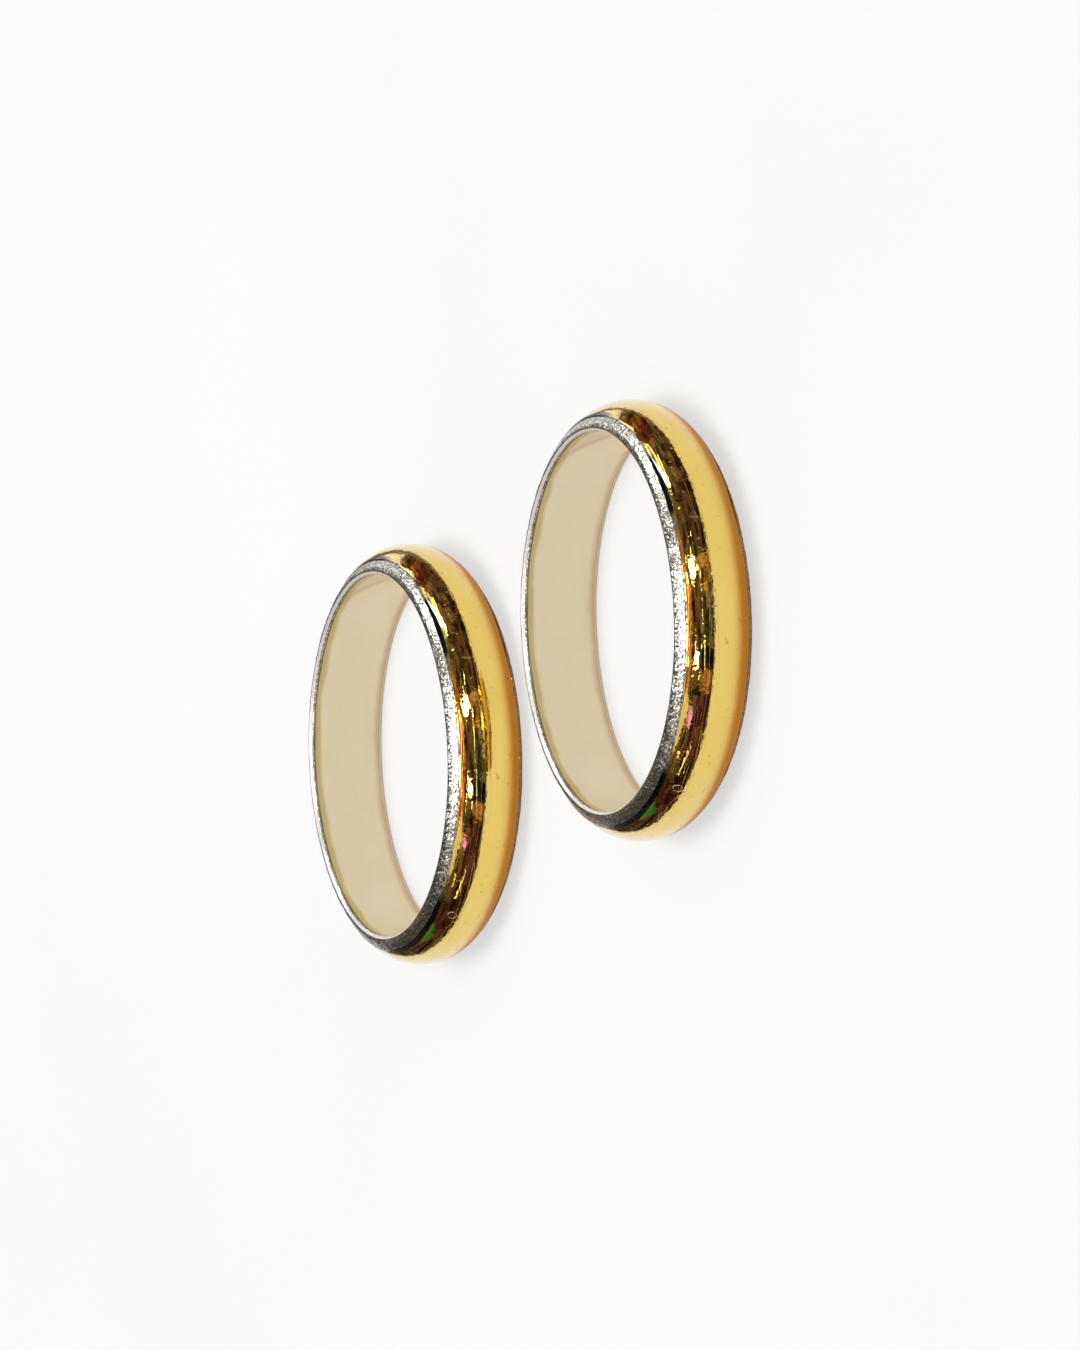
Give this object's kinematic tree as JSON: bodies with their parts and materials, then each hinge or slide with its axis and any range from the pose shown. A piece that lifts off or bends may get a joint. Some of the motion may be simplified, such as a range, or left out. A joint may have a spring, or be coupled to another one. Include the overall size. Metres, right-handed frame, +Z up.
{
  "type": "percussion finger rings",
  "caption": "Matching domed brass and steel finger rings with ivory liners, worn on finger and thumb and struck together or on a drum's shell.",
  "frame": {"origin": "on the table, midway between the two ring centres, under the pair", "axes": "+X runs from the left ring's centre to the right ring's; +Z is up, along both rings' axes"},
  "size_m": [0.057, 0.024, 0.0045],
  "materials": {
    "polished_brass": "polished",
    "ground_steel": "ground rims with a fine file grain",
    "ivory_liner": "smooth satin"
  },
  "bodies": {
    "left_ring": {"left_steel_core": "ground_steel", "left_brass_band": "polished_brass", "left_ivory_liner": "ivory_liner"},
    "right_ring": {"right_steel_core": "ground_steel", "right_brass_band": "polished_brass", "right_ivory_liner": "ivory_liner"}
  },
  "joints": [
    {"name": "strike_slide", "type": "slide", "parent": "left_ring", "child": "right_ring", "axis": [1, 0, 0], "range_m": [-0.0089, 0.03]}
  ]
}
